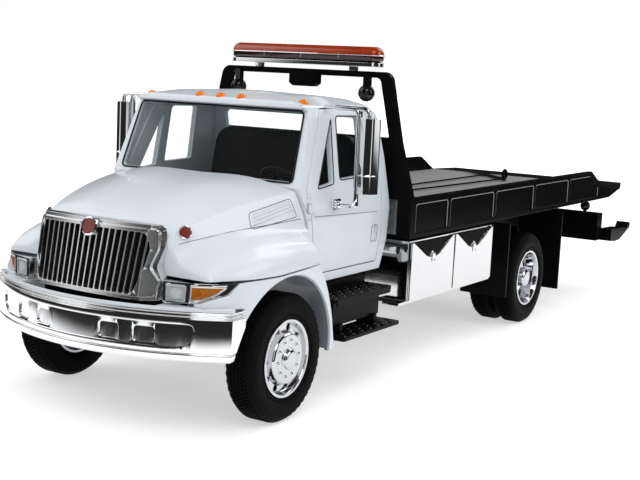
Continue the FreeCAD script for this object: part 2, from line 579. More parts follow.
# Each section is (station, top edge, upper side down to the crease, lower side down to the bottom).
HOOD_SECTIONS = (
    (HOOD_FRONT + HOOD_NOSE_DEPTH, ((0, 66.9), (13.4, 66.8), (17.0, 66.2), (27.2, 63.8)),
     ((27.2, 63.8), (28.4, 59.7)),
     ((28.4, 59.7), (31.0, 56.0), (36.0, 54.0), (41.6, 52.9), (43.2, HOOD_BOTTOM))),
    (-19.0, ((0, 71.8), (16.4, 71.6), (20.4, 70.9), (31.4, 68.2)),
     ((31.4, 68.2), (33.8, 62.6)),
     ((33.8, 62.6), (37.4, 59.9), (43.0, 57.9), (47.8, 55.0), (49.3, HOOD_BOTTOM))),
    (-8.0, ((0, 74.6), (18.8, 74.4), (23.0, 73.6), (34.2, 70.8)),
     ((34.2, 70.8), (37.0, 64.2)),
     ((37.0, 64.2), (40.4, 61.6), (45.4, 59.5), (49.8, 56.0), (51.0, HOOD_BOTTOM))),
    (5.0, ((0, 76.8), (21.4, 76.6), (25.8, 75.8), (37.2, 73.0)),
     ((37.2, 73.0), (39.8, 65.1)),
     ((39.8, 65.1), (42.4, 61.9), (46.6, 59.7), (50.2, 56.2), (51.6, HOOD_BOTTOM + 0.6))),
    (26.0, ((0, 79.1), (25.0, 78.9), (29.6, 78.1), (41.2, 75.0)),
     ((41.2, 75.0), (42.6, 65.4)),
     ((42.6, 65.4), (43.6, 60.6), (46.8, 58.0), (49.8, 55.0), (51.2, HOOD_BOTTOM_REAR + 0.6))),
)


def inset_points(points, distance):
    """Move an open half outline of (x, z) points inwards, each along its own normal."""
    moved = []
    for i, (x, z) in enumerate(points):
        ahead = points[min(i + 1, len(points) - 1)]
        back = points[max(i - 1, 0)]
        dx, dz = ahead[0] - back[0], ahead[1] - back[1]
        length = math.hypot(dx, dz)
        moved.append((x + distance * dz / length if x else 0.0, z - distance * dx / length))
    return moved


def section_wire(y, top, upper, lower, inset=0.0):
    """Closed hood section at station y; an inset section is the inner skin, carried on downwards."""
    half = list(top) + list(upper[1:]) + list(lower[1:])
    if inset:
        half = inset_points(half, inset)
        half[-1] = (half[-1][0], half[-1][1] - 4.0)
    first, second = len(top), len(top) + len(upper) - 1
    top, upper, lower = half[:first], half[first - 1:second], half[second - 1:]
    right = [[Vector(x, y, z) for x, z in part] for part in (upper, lower)]
    left = [[Vector(-v.x, v.y, v.z) for v in reversed(part)] for part in right]
    across = [Vector(-x, y, z) for x, z in reversed(top[1:])] + [Vector(x, y, z) for x, z in top]
    edges = []
    for points in (across, right[0], right[1], [right[1][-1], left[1][0]], left[1], left[0]):
        if len(points) == 2:
            edges.append(Part.LineSegment(*points).toShape())
        else:
            curve = Part.BSplineCurve()
            curve.interpolate(points)
            edges.append(curve.toShape())
    return Part.Wire(edges)


def cab_front_profile(gap):
    """Firewall line in side view, moved forwards by gap: the hood's rear edge follows it."""
    line = [(28.0, CAB_BOTTOM), (25.6, 49.0), (24.0, 54.0), (21.0, 65.0), (17.6, 75.6)]
    return [(y - gap, z) for y, z in line]


def hood():
    """Hollow hood with its fender tops, lofted through five sections and open below."""
    outer = Part.makeLoft([section_wire(*section) for section in HOOD_SECTIONS], True, False)
    steps = [section_wire(HOOD_FRONT + depth, *HOOD_SECTIONS[0][1:], inset=inset) for depth, inset in HOOD_NOSE]
    steps.append(section_wire(*HOOD_SECTIONS[0]))
    for step in zip(steps, steps[1:]):
        outer = outer.fuse(Part.makeLoft(list(step), True, True))
    stations = [(HOOD_FRONT + HOOD_WALL,) + HOOD_SECTIONS[0][1:]]
    stations += list(HOOD_SECTIONS[1:-1])
    stations += [(HOOD_SECTIONS[-1][0] + 0.5,) + HOOD_SECTIONS[-1][1:]]
    inner = Part.makeLoft([section_wire(*section, inset=HOOD_WALL) for section in stations], True, False)
    waist = CAB_BELT_X + HOOD_GAP
    for side in (-1, 1):
        x0, x1 = sorted((side * (waist - HOOD_WALL), side * 60.0))
        inner = inner.cut(box(x0, x1, HOOD_BULGE_REAR - HOOD_WALL, 40.0, 40.0, 66.0))
    rear = cab_front_profile(HOOD_GAP)
    rear[1] = (rear[1][0] - 0.8, rear[1][1])
    rear[2] = (rear[2][0] - 0.3, rear[2][1])
    behind = prism_x(rear + [(rear[-1][0] - 2.4, 84.0), (60.0, 84.0), (60.0, CAB_BOTTOM)], -60, 60)
    beside = [box(min(s * waist, s * 60.0), max(s * waist, s * 60.0), HOOD_BULGE_REAR, 60.0, 40.0, 70.0) for s in (-1, 1)]
    opening = prism_y(both_sides(inset_outline(GRILLE_OUTLINE, 2.0)), -36.0, HOOD_FRONT + 4.0)
    below = prism_x([(-40, 40), (-40, HOOD_BOTTOM), (-7, HOOD_BOTTOM), (HOOD_BULGE_REAR, HOOD_BOTTOM_REAR),
                     (40, HOOD_BOTTOM_REAR), (40, 40)], -60, 60)
    shell = outer.cut(inner).cut([behind, opening, below] + beside)
    recess = side_vent()
    skin = Part.makeLoft([section_wire(*section, inset=VENT_DEPTH) for section in HOOD_SECTIONS], True, False)
    return shell.cut([cut.cut(skin) for cut in (recess, mirrored(recess))])


def side_vent():
    """Cutter for the vent sunk in the hood's left side, with its slats left standing."""
    (y0, z0), (y1, z1) = VENT_PANEL[0], VENT_PANEL[1]
    cutter = prism_x(VENT_PANEL, 30.0, 60.0, 0.6)
    slope = (z1 - z0) / (y1 - y0)
    slats = []
    for k in range(1, VENT_SLATS + 1):
        drop = k * VENT_SLAT_STEP
        low, high = z0 - 2 * slope - drop, z1 + 2 * slope - drop
        slats.append(prism_x([(y0 - 2, low), (y1 + 2, high), (y1 + 2, high + VENT_SLAT_WIDTH),
                               (y0 - 2, low + VENT_SLAT_WIDTH)], 30.0, 60.0))
    return cutter.cut(slats)


GRILLE_OUTLINE = ((25.8, GRILLE_TOP), (26.2, 60.0), (24.8, 53.0), (27.4, 47.8), (26.6, GRILLE_BOTTOM))
GRILLE_OPENING = ((21.8, 63.7), (23.2, 59.0), (22.4, 53.0), (19.7, 44.6))
GRILLE_PLAN = ((22.0, 1.6), (26.0, 5.2), (30.0, 6.2))
GRILLE_OPENING_RADII = (2.6, 4.0, 4.0, 2.6, 2.6, 4.0, 4.0, 2.6)


def inset_outline(half, distance):
    """Half outline pulled in towards the grille's middle by distance."""
    middle = (GRILLE_TOP + GRILLE_BOTTOM) / 2
    return [(x - distance, z - distance if z > middle + 4 else z + distance if z < middle - 4 else z) for x, z in half]


def leaning(face, back):
    """Volume behind a face that bows in plan and leans back; face is its middle's station at the top."""
    z0, z1 = GRILLE_BOTTOM - 4.0, GRILLE_TOP + 4.0
    foot = face - GRILLE_LEAN * (GRILLE_TOP - z0)
    right = [Vector(x, foot + step, z0) for x, step in GRILLE_PLAN]
    left = [Vector(-v.x, v.y, v.z) for v in reversed(right)]
    edge, depth = GRILLE_PLAN[-1][0], foot + 40.0
    sides = Part.makePolygon(right + [Vector(edge, depth, z0), Vector(-edge, depth, z0)] + left)
    bow = Part.Arc(left[-1], Vector(0, foot, z0), right[0]).toShape()
    wire = Part.Wire(Part.__sortEdges__([bow] + sides.Edges))
    slanted = Part.Face(wire).extrude(Vector(0, GRILLE_LEAN * (z1 - z0), z1 - z0))
    return slanted.common(box(-edge, edge, -60.0, back, z0, z1))


def grille():
    """Stepped chrome surround with upright bars, bowed in plan, leaning back and open between the bars."""
    outer = prism_y(both_sides(GRILLE_OUTLINE), -50, -20, [2.4, 6.0, 3.0, 1.0, 0.8, 0.8, 1.0, 3.0, 6.0, 2.4])
    opening = prism_y(both_sides(GRILLE_OPENING), -51, -19, GRILLE_OPENING_RADII)
    ring = prism_y(both_sides(inset_outline(GRILLE_OUTLINE, GRILLE_RING_STEP)), -50, -20,
                   [1.8, 6.0, 3.0, 1.0, 0.8, 0.8, 1.0, 3.0, 6.0, 1.8])
    rim = outer.common(leaning(GRILLE_FACE + GRILLE_RING_STEP, GRILLE_REAR))
    face = ring.common(leaning(GRILLE_FACE, GRILLE_REAR))
    surround = fuse(rim, face).cut(opening)
    widest = GRILLE_OPENING[1][0]
    low, high = GRILLE_BOTTOM + 1.2, GRILLE_TOP - 2.0
    bars = []
    for k in range(GRILLE_BARS):
        x = -widest + 2 * widest * (k + 0.5) / GRILLE_BARS
        foot, half = x * GRILLE_BAR_TAPER, GRILLE_BAR_WIDTH / 2
        bars.append(prism_y([(foot - half, low), (foot + half, low), (x + half, high), (x - half, high)], -50, -20))
    shape = opening.common(Part.makeCompound(bars))
    front, back = GRILLE_BAR_DEPTH
    bars = shape.common(leaning(GRILLE_FACE + front, GRILLE_REAR)).cut(leaning(GRILLE_FACE + back, -20.0))
    return fuse(surround, bars, badge())


def badge():
    """Plain round plate at the top of the grille, square to its leaning face."""
    z = GRILLE_TOP - 2.6
    y = GRILLE_FACE - GRILLE_LEAN * (GRILLE_TOP - z)
    return rod((0, y - 0.5, z + 0.5 * GRILLE_LEAN), (0, y + 3.0, z - 3.0 * GRILLE_LEAN), 3.0)


def grille_backing():
    """Dark plate behind the bars, with the two arms that turn on the frame's hood pins."""
    rear = HOOD_FRONT + 1.2
    outline = both_sides(inset_outline(GRILLE_OPENING, 2 * FACE_GAP))
    plate = prism_y(outline, -50.0, rear, GRILLE_OPENING_RADII)
    plate = plate.common(leaning(GRILLE_FACE + GRILLE_BAR_DEPTH[1] + FACE_GAP, rear + 1))
    y, z = HOOD_PIVOT_Y, HOOD_PIVOT_Z
    x0, x1 = HOOD_LUG_X
    arm = prism_x([
        (y - 1.4, z - 1.4), (-31.2, z - 1.4), (-31.2, 54.0), (rear - 0.2, 54.0), (rear - 0.2, GRILLE_BOTTOM + 2.6),
        (GRILLE_REAR + 0.2, GRILLE_BOTTOM + 2.4), (GRILLE_REAR + 0.2, z + 1.4), (y - 1.4, z + 1.4)],
        x0, x1, [1.2, 1.2, 0, 0, 0, 0, 0, 1.2])
    arm = arm.cut(rod((x0 - 1, y, z), (x1 + 1, y, z), HOOD_PIN_RADIUS + RUNNING_GAP))
    return fuse(plate, arm, mirrored(arm))


# Cab

CAB_SIDE = (
    (28.0, CAB_BOTTOM), (25.6, 49.0), (24.0, 54.0), (21.0, 65.0), (17.6, 75.6), (27.2, 101.4), (24.6, 102.2),
    (25.0, 104.4), (44.0, CAB_ROOF), (66.0, 105.2), (74.6, 100.0), (78.4, 84.0), (80.0, 68.0), (79.4, 52.0), (76.6, CAB_BOTTOM))
CAB_SIDE_RADII = (0, 0, 0, 0, 0, 0, 0.5, 1.4, 30.0, 5.0, 6.0, 20.0, 16.0, 10.0, 1.0)
CAB_FRONT = (
    (0.0, CAB_ROOF), (26.0, CAB_ROOF - 1.4), (36.6, 103.2), (38.0, 99.4), (41.4, 75.0), (CAB_BELT_X, 64.5),
    (CAB_BELT_X - 0.4, 54.0), (CAB_BELT_X - 1.4, CAB_BOTTOM))
CAB_FRONT_RADII = (60.0, 14.0, 2.0, 4.0, 0, 2.0, 0, 0)


def cab_block(inset):
    """Cab volume: its side profile crossed with its front profile, drawn in by inset."""
    side_mid_y, side_mid_z = 48.0, 74.0
    ky = 1 - inset / 27.0
    kz = 1 - inset / 33.0
    side = [(side_mid_y + (y - side_mid_y) * ky, side_mid_z + (z - side_mid_z) * kz) for y, z in CAB_SIDE]
    front = [(x - inset if x > inset else 0.0, side_mid_z + (z - side_mid_z) * kz) for x, z in CAB_FRONT]
    side_radii = [max(r - inset, 0.0) for r in CAB_SIDE_RADII]
    front_radii = [max(r - inset, 0.0) for r in CAB_FRONT_RADII]
    block = prism_x(side, -60, 60, side_radii)
    radii = front_radii + front_radii[:0:-1]
    return block.common(prism_y(both_sides(front), 0, 100, radii))


DOOR_OUTLINE = ((34.6, 102.4), (21.8, 75.0), (23.6, 65.0), (26.6, 54.0), (34.0, 44.6), (73.0, 44.6), (75.0, 56.0),
                (74.6, 70.0), (71.0, 88.0), (65.6, 102.4))
VENT_OUTLINE = ((40.6, 98.0), (29.8, 75.2), (39.6, 76.4))
WINDOW_OUTLINE = ((44.6, 99.2), (44.6, 77.4), (61.4, 78.0), (60.4, 99.0))


def windscreen_outline(inset=0.0):
    return both_sides([(35.6 - inset, 101.0 - inset), (37.6 - inset, 77.4 + inset)])


def rear_window_outline(inset=0.0):
    return both_sides([(31.5 - inset, 98.0 - inset), (31.5 - inset, 80.0 + inset)])


def cab_shell():
    """Hollow cab: roof, pillars, back, firewall and floor, with door and window openings cut."""
    outer = cab_block(0.0)
    inner = cab_block(CAB_WALL)
    room = inner.cut(box(-60, 60, 0, 100, 0, CAB_FLOOR_TOP))
    shell = outer.cut(room)
    shell = shell.cut(box(-CAB_BELT_X + 3.2, CAB_BELT_X - 3.2, 0, 100, 0, CAB_FLOOR_BOTTOM))
    shell = shell.cut(prism_x(DOOR_OUTLINE, 34.0, 60.0, 1.0)).cut(prism_x(DOOR_OUTLINE, -60.0, -34.0, 1.0))
    shell = shell.cut(prism_y(windscreen_outline(), 8.0, 34.0, 1.6))
    shell = shell.cut(prism_y(rear_window_outline(), 68.0, 90.0, 2.0))
    low, door_low, door_high, high = HINGE_Z
    barrels = [rod((HINGE_X, HINGE_Y, a), (HINGE_X, HINGE_Y, b), HINGE_RADIUS) for a, b in ((low, door_low), (door_high, high))]
    pads = [box(HINGE_X - 1.8, HINGE_X, HINGE_Y - 0.5, HINGE_Y, a, b) for a, b in ((low, door_low), (door_high, high))]
    pin = rod((HINGE_X, HINGE_Y, low), (HINGE_X, HINGE_Y, high), HINGE_PIN)
    hinge = fuse(*barrels, *pads, pin)
    return fuse(shell, hinge, mirrored(hinge))


def shrink(outline, gap):
    """Outline moved inwards by gap along both axes, about its own middle."""
    ys, zs = [p[0] for p in outline], [p[1] for p in outline]
    my, mz = (max(ys) + min(ys)) / 2, (max(zs) + min(zs)) / 2
    hy, hz = (max(ys) - min(ys)) / 2, (max(zs) - min(zs)) / 2
    return [(my + (y - my) * (1 - gap / hy), mz + (z - mz) * (1 - gap / hz)) for y, z in outline]


def door():
    """Left door: the cab's own curve at full thickness, with vent and main window cut."""
    skin = cab_block(0.0).cut(cab_block(CAB_WALL + 0.4))
    panel = skin.common(prism_x(shrink(DOOR_OUTLINE, DOOR_GAP), 34.0, 60.0, 1.0))
    panel = panel.cut(prism_x(VENT_OUTLINE, 30.0, 60.0, 0.6)).cut(prism_x(WINDOW_OUTLINE, 30.0, 60.0, 1.2))
    handle = prism_x([(67.6, 53.0), (70.6, 53.0), (70.6, 59.0), (67.6, 59.0)], CAB_BELT_X - 1.2, CAB_BELT_X + 2, 0.8)
    z0, z1 = HINGE_Z[1] + 0.2, HINGE_Z[2] - 0.2
    barrel = rod((HINGE_X, HINGE_Y, z0), (HINGE_X, HINGE_Y, z1), HINGE_RADIUS)
    leaf = box(HINGE_X, HINGE_X + 0.4, HINGE_Y, HINGE_Y + 3.4, z0, z1)
    pad = box(HINGE_X - 1.6, HINGE_X + 0.4, HINGE_Y + 1.6, HINGE_Y + 3.4, z0, z1)
    bore = rod((HINGE_X, HINGE_Y, z0 - 1), (HINGE_X, HINGE_Y, z1 + 1), HINGE_PIN + RUNNING_GAP)
    return fuse(panel.cut(handle), barrel.fuse([leaf, pad]).cut(bore))


def glass_layer(depth):
    """Thin layer at depth inside the cab's outer skin."""
    return cab_block(depth).cut(cab_block(depth + GLASS_THICKNESS))


def door_glass():
    layer = glass_layer(0.7)
    panes = []
    for outline, radius in ((VENT_OUTLINE, 0.6), (WINDOW_OUTLINE, 1.2)):
        panes.append(layer.common(prism_x(shrink(outline, 0.05), 30.0, 60.0, radius)))
    return Part.makeCompound([p.Solids[0] for p in panes])


def cab_glass():
    layer = glass_layer(0.7)
    front = layer.common(prism_y(windscreen_outline(0.05), 8.0, 34.0, 1.6))
    rear = layer.common(prism_y(rear_window_outline(0.05), 68.0, 90.0, 2.0))
    return Part.makeCompound([front.Solids[0], rear.Solids[0]])


def cab_seats():
    """Bench base and full-width high back, moulded in one."""
    base_z = CAB_FLOOR_TOP
    profile = [(48.0, base_z), (70.5, base_z), (75.5, 62.0), (75.0, 78.0), (73.8, 91.4), (69.8, 91.8), (67.4, 74.0),
               (65.6, 60.0), (48.6, 59.0), (47.0, 56.0)]
    return prism_x(profile, -33.0, 33.0, [0, 0, 0, 4, 1.6, 1.6, 4, 2, 1.6, 1.0])


def dashboard():
    """Dashboard roll that fills the space ahead of the seats up to the firewall's inner face."""
    profile = [(20.0, 62.0), (16.0, 75.6), (26.0, 76.2), (33.0, 75.4), (36.2, 71.0), (35.4, 63.0), (30.0, 60.0),
               (20.0, 60.0)]
    roll = prism_x(profile, -34.6, 34.6, [0, 0, 1.5, 1.5, 1.5, 1, 1, 0])
    return roll.common(cab_block(CAB_WALL + FACE_GAP))


def steering_wheel():
    """Wheel with three spokes on a short column, ahead of the left seat."""
    centre = Vector(17.0, 43.0, 74.5)
    lean = math.radians(48)
    axis = Vector(0, -math.cos(lean), -math.sin(lean)).normalize()
    ring = Part.makeTorus(7.6, 0.7, Vector(0, 0, 0), Vector(0, 0, 1))
    hub = Part.makeCylinder(1.6, 1.4, Vector(0, 0, -0.7))
    spokes = []
    for k in range(3):
        spoke = Part.makeBox(7.6, 1.0, 0.8, Vector(0, -0.5, -0.4))
        spoke.rotate(Vector(0, 0, 0), Vector(0, 0, 1), 90 + 120 * k)
        spokes.append(spoke)
    column = Part.makeCylinder(0.9, 8.4, Vector(0, 0, 0))
    wheel = fuse(ring, hub, column, *spokes)
    turn = FreeCAD.Rotation(Vector(0, 0, 1), axis)
    wheel.Placement = FreeCAD.Placement(centre, turn)
    return wheel


def roof_lamps():
    """Five round marker lamps seated on the roof's front."""
    lamps = []
    block = cab_block(0.0)
    for x, y in ROOF_LAMPS:
        height = block.common(rod((x, y, 90.0), (x, y, 120.0), 0.05)).BoundBox.ZMax
        dome = Part.makeSphere(2.4, Vector(x, y, height - 1.2)).common(rod((x, y, height - 2), (x, y, height + 4), 1.9))
        lamps.append(dome.cut(block))
    return Part.makeCompound([lamp.Solids[0] for lamp in lamps])


def mirror():
    """Left mirror: tall half-round head on a bent bracket with upper and lower arm."""
    x, y = 55.0, 39.0
    z0, z1 = 73.6, 99.8
    head = prism_z([(x - 3.8, y + 1.6), (x - 3.8, y + 0.6), (x - 2.6, y - 1.8), (x, y - 2.8), (x + 2.6, y - 1.8),
                    (x + 3.8, y + 0.6), (x + 3.8, y + 1.6)], z0, z1, [0.4, 0.6, 1.4, 2.4, 1.4, 0.6, 0.4])
    arm_top = box(36.9, 51.6, y - 1.0, y + 1.0, 102.4, 103.4)
    post = box(50.4, 51.6, y - 1.0, y + 1.0, 69.0, 103.0)
    arm_low = box(CAB_BELT_X - 0.6, 51.0, y - 1.0, y + 1.0, 68.4, 69.4)
    foot_low = box(CAB_BELT_X - 0.6, CAB_BELT_X + 0.6, y - 2.0, y + 3.0, 67.0, 71.0)
    body = fuse(head, arm_top, post, arm_low, foot_low)
    return body.cut(cab_block(0.0))


# Sides

def cab_steps():
    """Left step pack: lipped upper tread on a case, lower tread hung below, tied to the outriggers."""
    x0, x1 = STEP_INNER_X, 50.0
    (y0, y1), (low_y0, low_y1) = UPPER_STEP, LOWER_STEP
    corners = [(x0, y0), (x1, y0), (x1, y1), (x0, y1)]
    upper = prism_z(corners, UPPER_STEP_TOP - 1.4, UPPER_STEP_TOP, [0, 1.2, 1.2, 0])
    upper = upper.fuse(box(x1 - 0.8, x1, y0 + 1.2, y1 - 1.2, UPPER_STEP_TOP - 2.6, UPPER_STEP_TOP - 0.7))
    case = box(x0, 44.6, 38.0, y1, 25.0, UPPER_STEP_TOP - 1.0)
    corners = [(x0 + 0.8, low_y0), (x1 + 0.5, low_y0), (x1 + 0.5, low_y1), (x0 + 0.8, low_y1)]
    lower = prism_z(corners, LOWER_STEP_TOP - 1.4, LOWER_STEP_TOP, [0, 1.2, 1.2, 0])
    hangers = [box(38.4, 46.0, y, y + 2.4, LOWER_STEP_TOP - 1.0, 25.6) for y in (41.0, 66.0)]
    tie = box(x0, x0 + 2.0, STEP_OUTRIGGERS[0] - 2.0, STEP_OUTRIGGERS[1] + 2.0, UPPER_STEP_TOP - 1.0, RAIL_TOP - 3.0)
    return fuse(upper, case, lower, tie, *hangers)


def toolbox():
    """Left toolbox with two framed doors, a raised latch on each and a tray at its front foot."""
    y0, y1 = TOOLBOX_FRONT, TOOLBOX_REAR
    face, middle = DECK_HALF - 2.0, (TOOLBOX_FRONT + TOOLBOX_REAR) / 2
    z0, z1 = 27.0, 51.6
    body = box(TOOLBOX_INNER_X, face, y0, y1, z0, z1)
    body = body.cut(box(face - 0.6, face + 1, middle - 0.3, middle + 0.3, z0 + 1.0, z1 - 1.0))
    frame = box(face - 0.5, face + 1, y0 + 1.0, y1 - 1.0, z0 + 1.0, z1 - 1.0)
    body = body.cut(frame.cut(box(face - 1, face + 2, y0 + 1.5, y1 - 1.5, z0 + 1.5, z1 - 1.5)))
    tray = box(37.0, face, y0 - 6.2, y0, z0, z0 + 1.2)
    latches = [rod((face, (y0 + middle) / 2, 45.0), (face + 0.6, (y0 + middle) / 2, 45.0), 1.1),
               rod((face, (y1 + middle) / 2, 45.0), (face + 0.6, (y1 + middle) / 2, 45.0), 1.1)]
    return fuse(body, tray, *latches)


def cross_tube():
    """Round tank across the frame behind the cab, on two saddles."""
    y, z = 82.6, RAIL_TOP + 5.4
    tube = rod((-46.0, y, z), (46.0, y, z), 1.8)
    saddle = box(RAIL_INNER_X, RAIL_OUTER_X, y - 1.0, y + 1.0, RAIL_TOP, z)
    return fuse(tube, saddle, mirrored(saddle))


def mudflaps():
    """Four plain flaps, before and behind the rear wheels, the front pair shorter."""
    x0, x1 = MUDFLAP_INNER_X + SEAT_GAP, DECK_HALF - 1.0
    front = box(x0, x1, MUDFLAP_FRONT, MUDFLAP_FRONT + MUDFLAP_THICKNESS, 16.0, 50.0)
    rear = box(x0, x1, MUDFLAP_REAR, MUDFLAP_REAR + MUDFLAP_THICKNESS, 11.0, 50.0)
    return Part.makeCompound([front, rear, mirrored(front), mirrored(rear)])


# Subframe, tail board and wheel lift

def subframe():
    """Tilting subframe: two rails, crossmembers and the lugs that turn on the chassis pins."""
    x0, x1 = SILL_X
    z0, z1 = SUBFRAME_BOTTOM, SUBFRAME_TOP
    rail = box(x0, x1, SUBFRAME_FRONT, SUBFRAME_REAR, z0, z1)
    parts = [rail, mirrored(rail)]
    for k in range(4):
        y = SUBFRAME_FRONT + 2.0 + (SUBFRAME_REAR - SUBFRAME_FRONT - 44.0) * k / 3
        parts.append(box(-x0 - 0.5, x0 + 0.5, y, y + 3.0, z0 + 0.6, z1 - 1.0))
    y, z = TILT_PIVOT_Y, TILT_PIVOT_Z
    lug_x0 = RAIL_OUTER_X + 0.6
    lug = prism_x([(y - 6.0, z1), (y - 3.2, z - 3.2), (y + 3.2, z - 3.2), (y + 6.0, z1)], lug_x0, lug_x0 + 2.4, [0, 3.0, 3.0, 0])
    lug = lug.cut(rod((lug_x0 - 1, y, z), (lug_x0 + 4, y, z), TILT_PIN_RADIUS + RUNNING_GAP))
    bridge = box(x1 - 0.5, lug_x0 + 2.4, y - 6.0, y + 6.0, z1 - 2.4, z1)
    parts += [lug, mirrored(lug), bridge, mirrored(bridge)]
    return fuse(*parts)


def tail_board():
    """Light board behind the bed's pivot with the two cheeks that hold the wheel lift's pin."""
    x0, x1 = SILL_X
    board = box(-TAIL_BOARD_HALF, TAIL_BOARD_HALF, TAIL_BOARD_FRONT, TAIL_BOARD_REAR, TAIL_BOARD_BOTTOM, RAIL_TOP)
    board = board.cut(box(-x0, x0, TAIL_BOARD_FRONT - 1, TAIL_BOARD_REAR + 1, TAIL_BOARD_BOTTOM - 1, 38.4))
    cheek = box(x0, x1, SUBFRAME_REAR, TAIL_BOARD_FRONT, TAIL_BOARD_BOTTOM, SUBFRAME_TOP)
    pin = rod((-x0, LIFT_PIVOT_Y, LIFT_PIVOT_Z), (x0, LIFT_PIVOT_Y, LIFT_PIVOT_Z), LIFT_PIN_RADIUS)
    recess = []
    for x in (24.0, 33.0):
        recess.append(prism_y([(x, 30.6), (x + 7.4, 30.6), (x + 7.4, 40.4), (x, 40.4)],
                              TAIL_BOARD_REAR - 1.0, TAIL_BOARD_REAR + 1, 1.0))
    recess += [mirrored(r) for r in recess]
    return fuse(board.cut(recess), cheek, mirrored(cheek), pin)


def rear_work_lamps():
    """Two ball lamps on short stems along the tail board's top."""
    lamps = []
    y = (TAIL_BOARD_FRONT + TAIL_BOARD_REAR) / 2
    for x in (36.0, -36.0):
        ball = Part.makeSphere(2.7, Vector(x, y, RAIL_TOP + 3.4))
        stem = rod((x, y, RAIL_TOP), (x, y, RAIL_TOP + 2.0), 0.9)
        lamps.append(fuse(ball, stem))
    return Part.makeCompound(lamps)


def lift_boom():
    """Outer boom of the wheel lift: a square tube that swings on the tail board's pin."""
    y, z = LIFT_PIVOT_Y, LIFT_PIVOT_Z
    tube = box(-5.0, 5.0, LIFT_BOOM_FRONT, CROSSBAR_FRONT - 0.6, z - 6.6, z + 2.4)
    tube = tube.cut(box(-3.3, 3.3, LIFT_BOOM_FRONT - 1, CROSSBAR_FRONT, z - 5.3, z - 1.5))
    return tube.cut(rod((-6, y, z), (6, y, z), LIFT_PIN_RADIUS + RUNNING_GAP))


def lift_crossbar():
    """Sliding stinger with the crossbar and a wheel cradle at each end."""
    z = LIFT_PIVOT_Z
    y0, y1 = CROSSBAR_FRONT, CROSSBAR_FRONT + CROSSBAR_DEPTH
    inner = CRADLE_HALF - CRADLE_WIDTH
    stinger = box(-3.0, 3.0, LIFT_BOOM_FRONT + 1.0, y0 + 1, z - 5.0, z - 1.8)
    bar = box(-inner - 0.5, inner + 0.5, y0, y1, 27.4, 33.4)
    drop = box(-5.0, 5.0, y0, y1, z - 6.0, 33.4)
    cradle = prism_x([
        (y0, 27.4), (y0, 34.0), (y0 + 21.0, 33.2), (y0 + 27.6, 32.4), (y0 + 31.0, 35.6), (CRADLE_END, 35.0),
        (CRADLE_END, 32.4), (y0 + 16.0, 26.8), (y0 + 8.0, 26.6)], inner, CRADLE_HALF, [0, 0, 0, 1, 0.4, 0.4, 1, 3, 2])
    return fuse(stinger, bar, drop, cradle, mirrored(cradle))


# Deck

def deck_floor():
    """Deck plate on two long sills and its crossmembers, with a low front plate."""
    half = DECK_HALF - SIDE_WALL
    x0, x1 = SILL_X
    plate = box(-half, half, DECK_FRONT, DECK_REAR, DECK_UNDER, DECK_TOP)
    sill = box(x0, x1, DECK_FRONT, TAIL_BOARD_FRONT - 4.0, SUBFRAME_TOP + SEAT_GAP, DECK_UNDER + 0.4)
    parts = [plate, sill, mirrored(sill)]
    count = 12
    for k in range(count):
        y = DECK_FRONT + 3.0 + (DECK_REAR - DECK_FRONT - 8.0) * k / (count - 1)
        parts.append(box(-half, half, y, y + 1.6, DECK_UNDER - 4.6, DECK_UNDER + 0.4))
    return fuse(*parts)


def side_rail():
    """Left side rail with five sunk panels along its face and a sloped rear end."""
    x0, x1 = DECK_HALF - SIDE_WALL, DECK_HALF
    outline = [(DECK_FRONT, SIDE_BOTTOM), (DECK_FRONT, SIDE_TOP), (RAIL_SLOPE_TOP, SIDE_TOP),
               (DECK_REAR, DECK_TOP), (DECK_REAR, SIDE_BOTTOM)]
    rail = prism_x(outline, x0, x1)
    low, high = SIDE_BOTTOM + 1.8, SIDE_TOP - 2.4
    seams = [DECK_REAR - 3.0 - PANEL_LENGTH * k for k in range(RAIL_PANELS)]
    seams = [DECK_FRONT + 0.6] + seams[::-1]
    for a, b in zip(seams, seams[1:]):
        a, b = a + 1.2, b - 1.2
        if b < RAIL_SLOPE_TOP:
            panel = [(a, low), (b, low), (b, high), (a, high)]
        else:
            panel = [(a, low), (b, low), (b, DECK_TOP - 1.6), (RAIL_SLOPE_TOP - 2.0, high), (a, high)]
        rail = rail.cut(prism_x(panel, x1 - 0.7, x1 + 1, 0.8))
    return rail


def tail_plate():
    """Wedge at the deck's end that meets the ground when the bed is down."""
    outline = [(DECK_REAR, SIDE_BOTTOM), (DECK_REAR, DECK_TOP), (TAIL_END, DECK_TOP - 1.0), (TAIL_END, DECK_TOP - 4.2),
               (DECK_REAR + 15.0, SIDE_BOTTOM)]
    wedge = prism_x(outline, -DECK_HALF, DECK_HALF)
    half = SILL_X[1] + SEAT_GAP
    return wedge.cut(box(-half, half, DECK_REAR - 1, TAIL_BOARD_FRONT - 3.5, 50.0, DECK_UNDER + 0.4 + SEAT_GAP))


